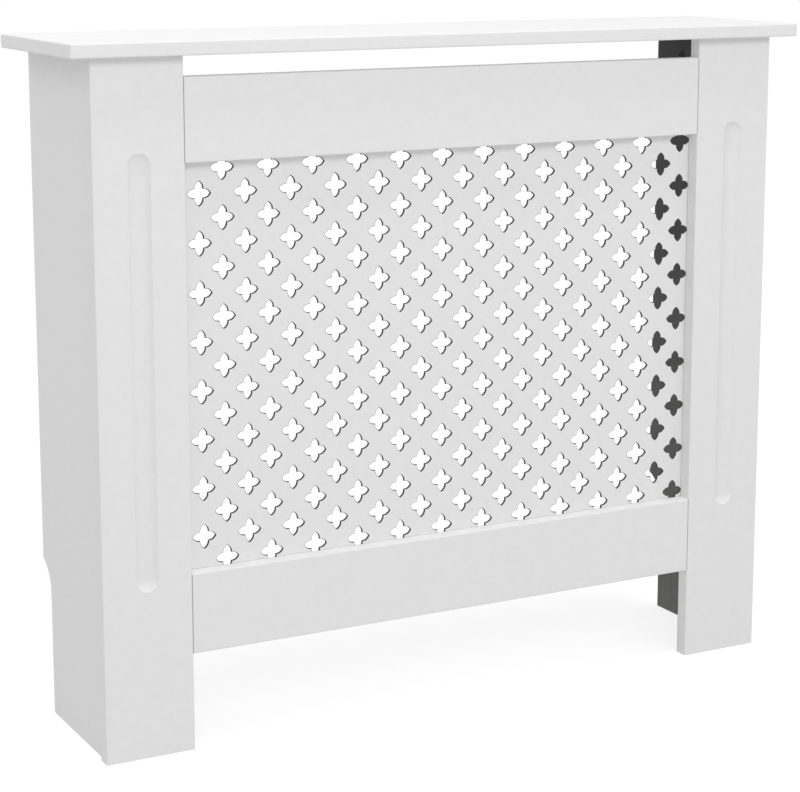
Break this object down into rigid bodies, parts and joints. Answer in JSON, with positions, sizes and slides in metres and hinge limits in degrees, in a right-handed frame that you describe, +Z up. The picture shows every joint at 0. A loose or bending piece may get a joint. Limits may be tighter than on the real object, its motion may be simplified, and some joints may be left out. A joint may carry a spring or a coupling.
{
  "type": "radiator cover cabinet",
  "caption": "White cabinet that hides a radiator: shelf top, fluted posts, pierced lattice front, open back, air gaps above and below, cam locks that turn.",
  "frame": {"origin": "on the floor, below the middle of the top board", "axes": "+X along the wall to the right as seen from the room, +Y from the room to the wall, +Z up"},
  "size_m": [0.96, 0.235, 0.815],
  "materials": {
    "white_lacquer": "white satin lacquer on medium density fibreboard, eased edges",
    "side_panel_board": "white satin lacquer outside and on the edges, plain dark grey inside",
    "lattice_board": "white satin lacquer on the front, dark cut edges and back",
    "beech": "bare fluted beech",
    "cam_zinc": "black coated zinc casting, satin",
    "bolt_steel": "bright zinc plated steel",
    "screw_steel": "bright zinc plated steel",
    "bracket_steel": "zinc plated sheet steel with a faint spangle"
  },
  "bodies": {
    "cabinet": {"top_board": "white_lacquer", "left_post": "white_lacquer", "right_post": "white_lacquer", "left_side_panel": "side_panel_board", "right_side_panel": "side_panel_board", "top_rail": "white_lacquer", "bottom_rail": "white_lacquer", "lattice_panel": "lattice_board", "post_dowels": "beech", "rail_dowels": "beech", "board_dowels": "beech", "board_cam_bolts": "bolt_steel", "post_cam_bolts": "bolt_steel", "lattice_screws": "screw_steel", "bracket_screws": "screw_steel", "left_wall_bracket": "bracket_steel", "right_wall_bracket": "bracket_steel"},
    "left_board_cam_front": {"left_board_cam_front": "cam_zinc"},
    "left_board_cam_rear": {"left_board_cam_rear": "cam_zinc"},
    "left_post_cam_upper": {"left_post_cam_upper": "cam_zinc"},
    "left_post_cam_lower": {"left_post_cam_lower": "cam_zinc"},
    "right_board_cam_front": {"right_board_cam_front": "cam_zinc"},
    "right_board_cam_rear": {"right_board_cam_rear": "cam_zinc"},
    "right_post_cam_upper": {"right_post_cam_upper": "cam_zinc"},
    "right_post_cam_lower": {"right_post_cam_lower": "cam_zinc"}
  },
  "joints": [
    {"name": "left_board_cam_front_turn", "type": "hinge", "parent": "cabinet", "child": "left_board_cam_front", "pos_m": [-0.432, -0.0255, 0.765], "axis": [1, 0, 0], "range_deg": [0, 180]},
    {"name": "left_board_cam_rear_turn", "type": "hinge", "parent": "cabinet", "child": "left_board_cam_rear", "pos_m": [-0.432, 0.0625, 0.765], "axis": [1, 0, 0], "range_deg": [0, 180]},
    {"name": "left_post_cam_upper_turn", "type": "hinge", "parent": "cabinet", "child": "left_post_cam_upper", "pos_m": [-0.432, -0.0465, 0.65], "axis": [1, 0, 0], "range_deg": [0, 180]},
    {"name": "left_post_cam_lower_turn", "type": "hinge", "parent": "cabinet", "child": "left_post_cam_lower", "pos_m": [-0.432, -0.0465, 0.155], "axis": [1, 0, 0], "range_deg": [0, 180]},
    {"name": "right_board_cam_front_turn", "type": "hinge", "parent": "cabinet", "child": "right_board_cam_front", "pos_m": [0.432, -0.0255, 0.765], "axis": [-1, 0, 0], "range_deg": [0, 180]},
    {"name": "right_board_cam_rear_turn", "type": "hinge", "parent": "cabinet", "child": "right_board_cam_rear", "pos_m": [0.432, 0.0625, 0.765], "axis": [-1, 0, 0], "range_deg": [0, 180]},
    {"name": "right_post_cam_upper_turn", "type": "hinge", "parent": "cabinet", "child": "right_post_cam_upper", "pos_m": [0.432, -0.0465, 0.65], "axis": [-1, 0, 0], "range_deg": [0, 180]},
    {"name": "right_post_cam_lower_turn", "type": "hinge", "parent": "cabinet", "child": "right_post_cam_lower", "pos_m": [0.432, -0.0465, 0.155], "axis": [-1, 0, 0], "range_deg": [0, 180]}
  ]
}
